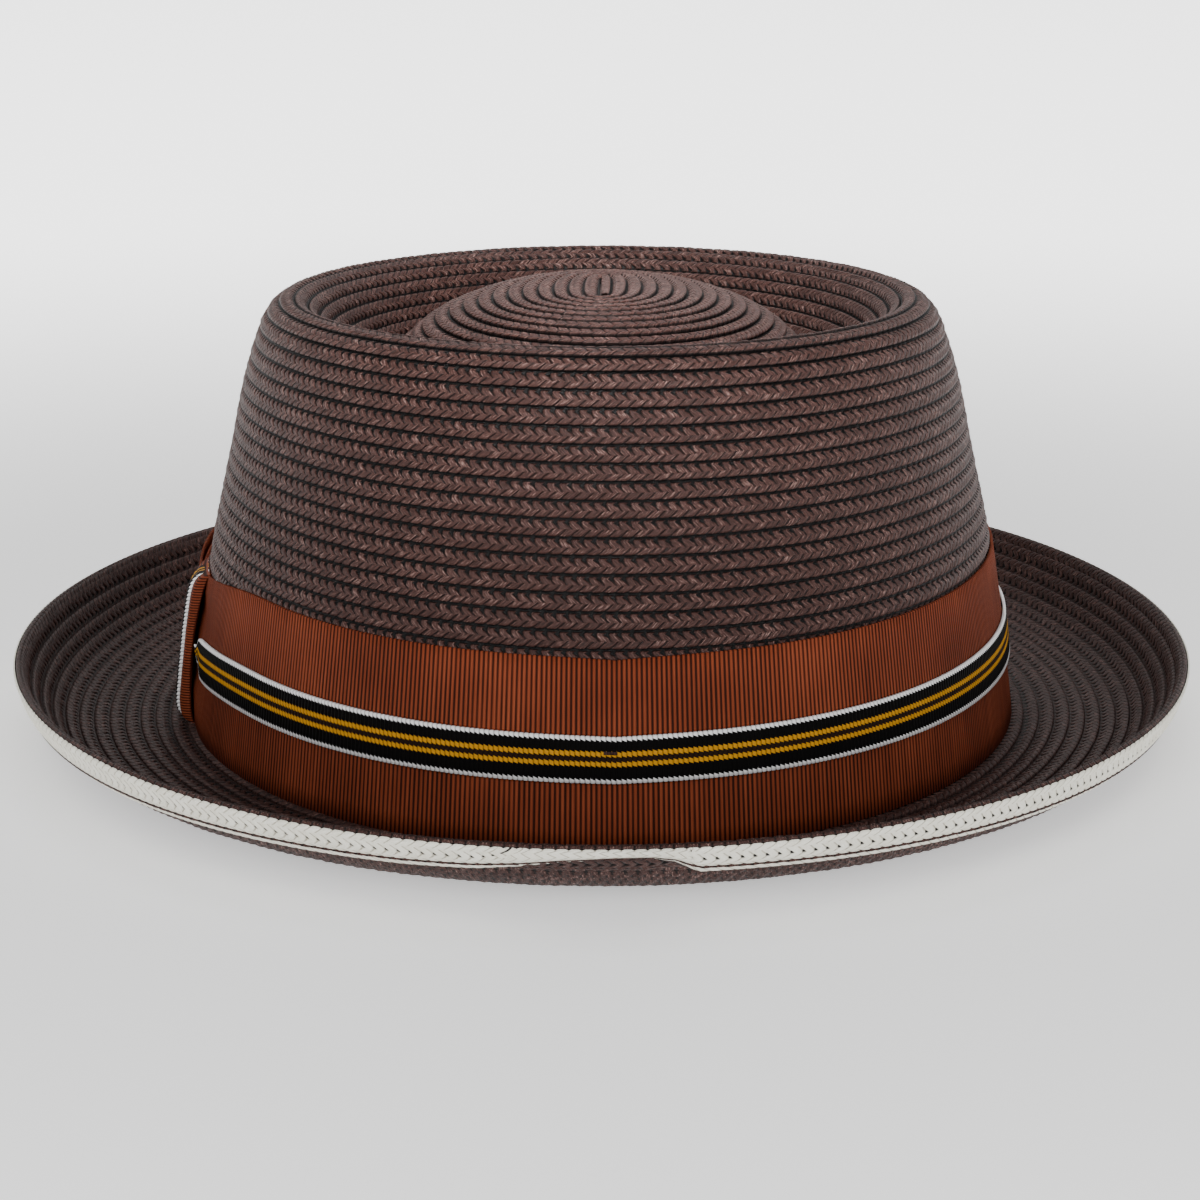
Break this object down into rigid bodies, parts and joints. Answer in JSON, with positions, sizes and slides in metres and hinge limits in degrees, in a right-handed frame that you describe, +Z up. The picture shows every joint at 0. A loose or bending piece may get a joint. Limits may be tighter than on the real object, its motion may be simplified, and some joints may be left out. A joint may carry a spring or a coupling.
{
  "type": "porkpie hat",
  "caption": "Porkpie hat of sewn braid with a telescoped tip, a curled brim with a contrast edge, a ribbon band with a striped ribbon along it and a side bow.",
  "frame": {"origin": "on the surface that the brim rests on, at the middle of the hat's length and width", "axes": "+Z up out of the tip, +Y to the front of the hat, where the wearer faces, -X to the wearer's left, where the bow is"},
  "size_m": [0.243, 0.276, 0.0895],
  "materials": {
    "brown_braid": "plaited paper-straw braid, sewn in overlapping rows",
    "ivory_braid": "plaited braid, off-white, slightly glossy",
    "rust_grosgrain": "ribbed grosgrain ribbon, matt",
    "striped_ribbon": "ribbed ribbon, black with white edges and gold stripes"
  },
  "bodies": {
    "root": {"braid_body": "brown_braid", "edge_braid": "ivory_braid", "ribbon_band": "rust_grosgrain", "stripe_ribbon": "striped_ribbon", "bow_knot": "rust_grosgrain", "bow_loop": "rust_grosgrain", "bow_knot_stripe": "striped_ribbon", "bow_loop_stripe": "striped_ribbon"}
  },
  "joints": []
}
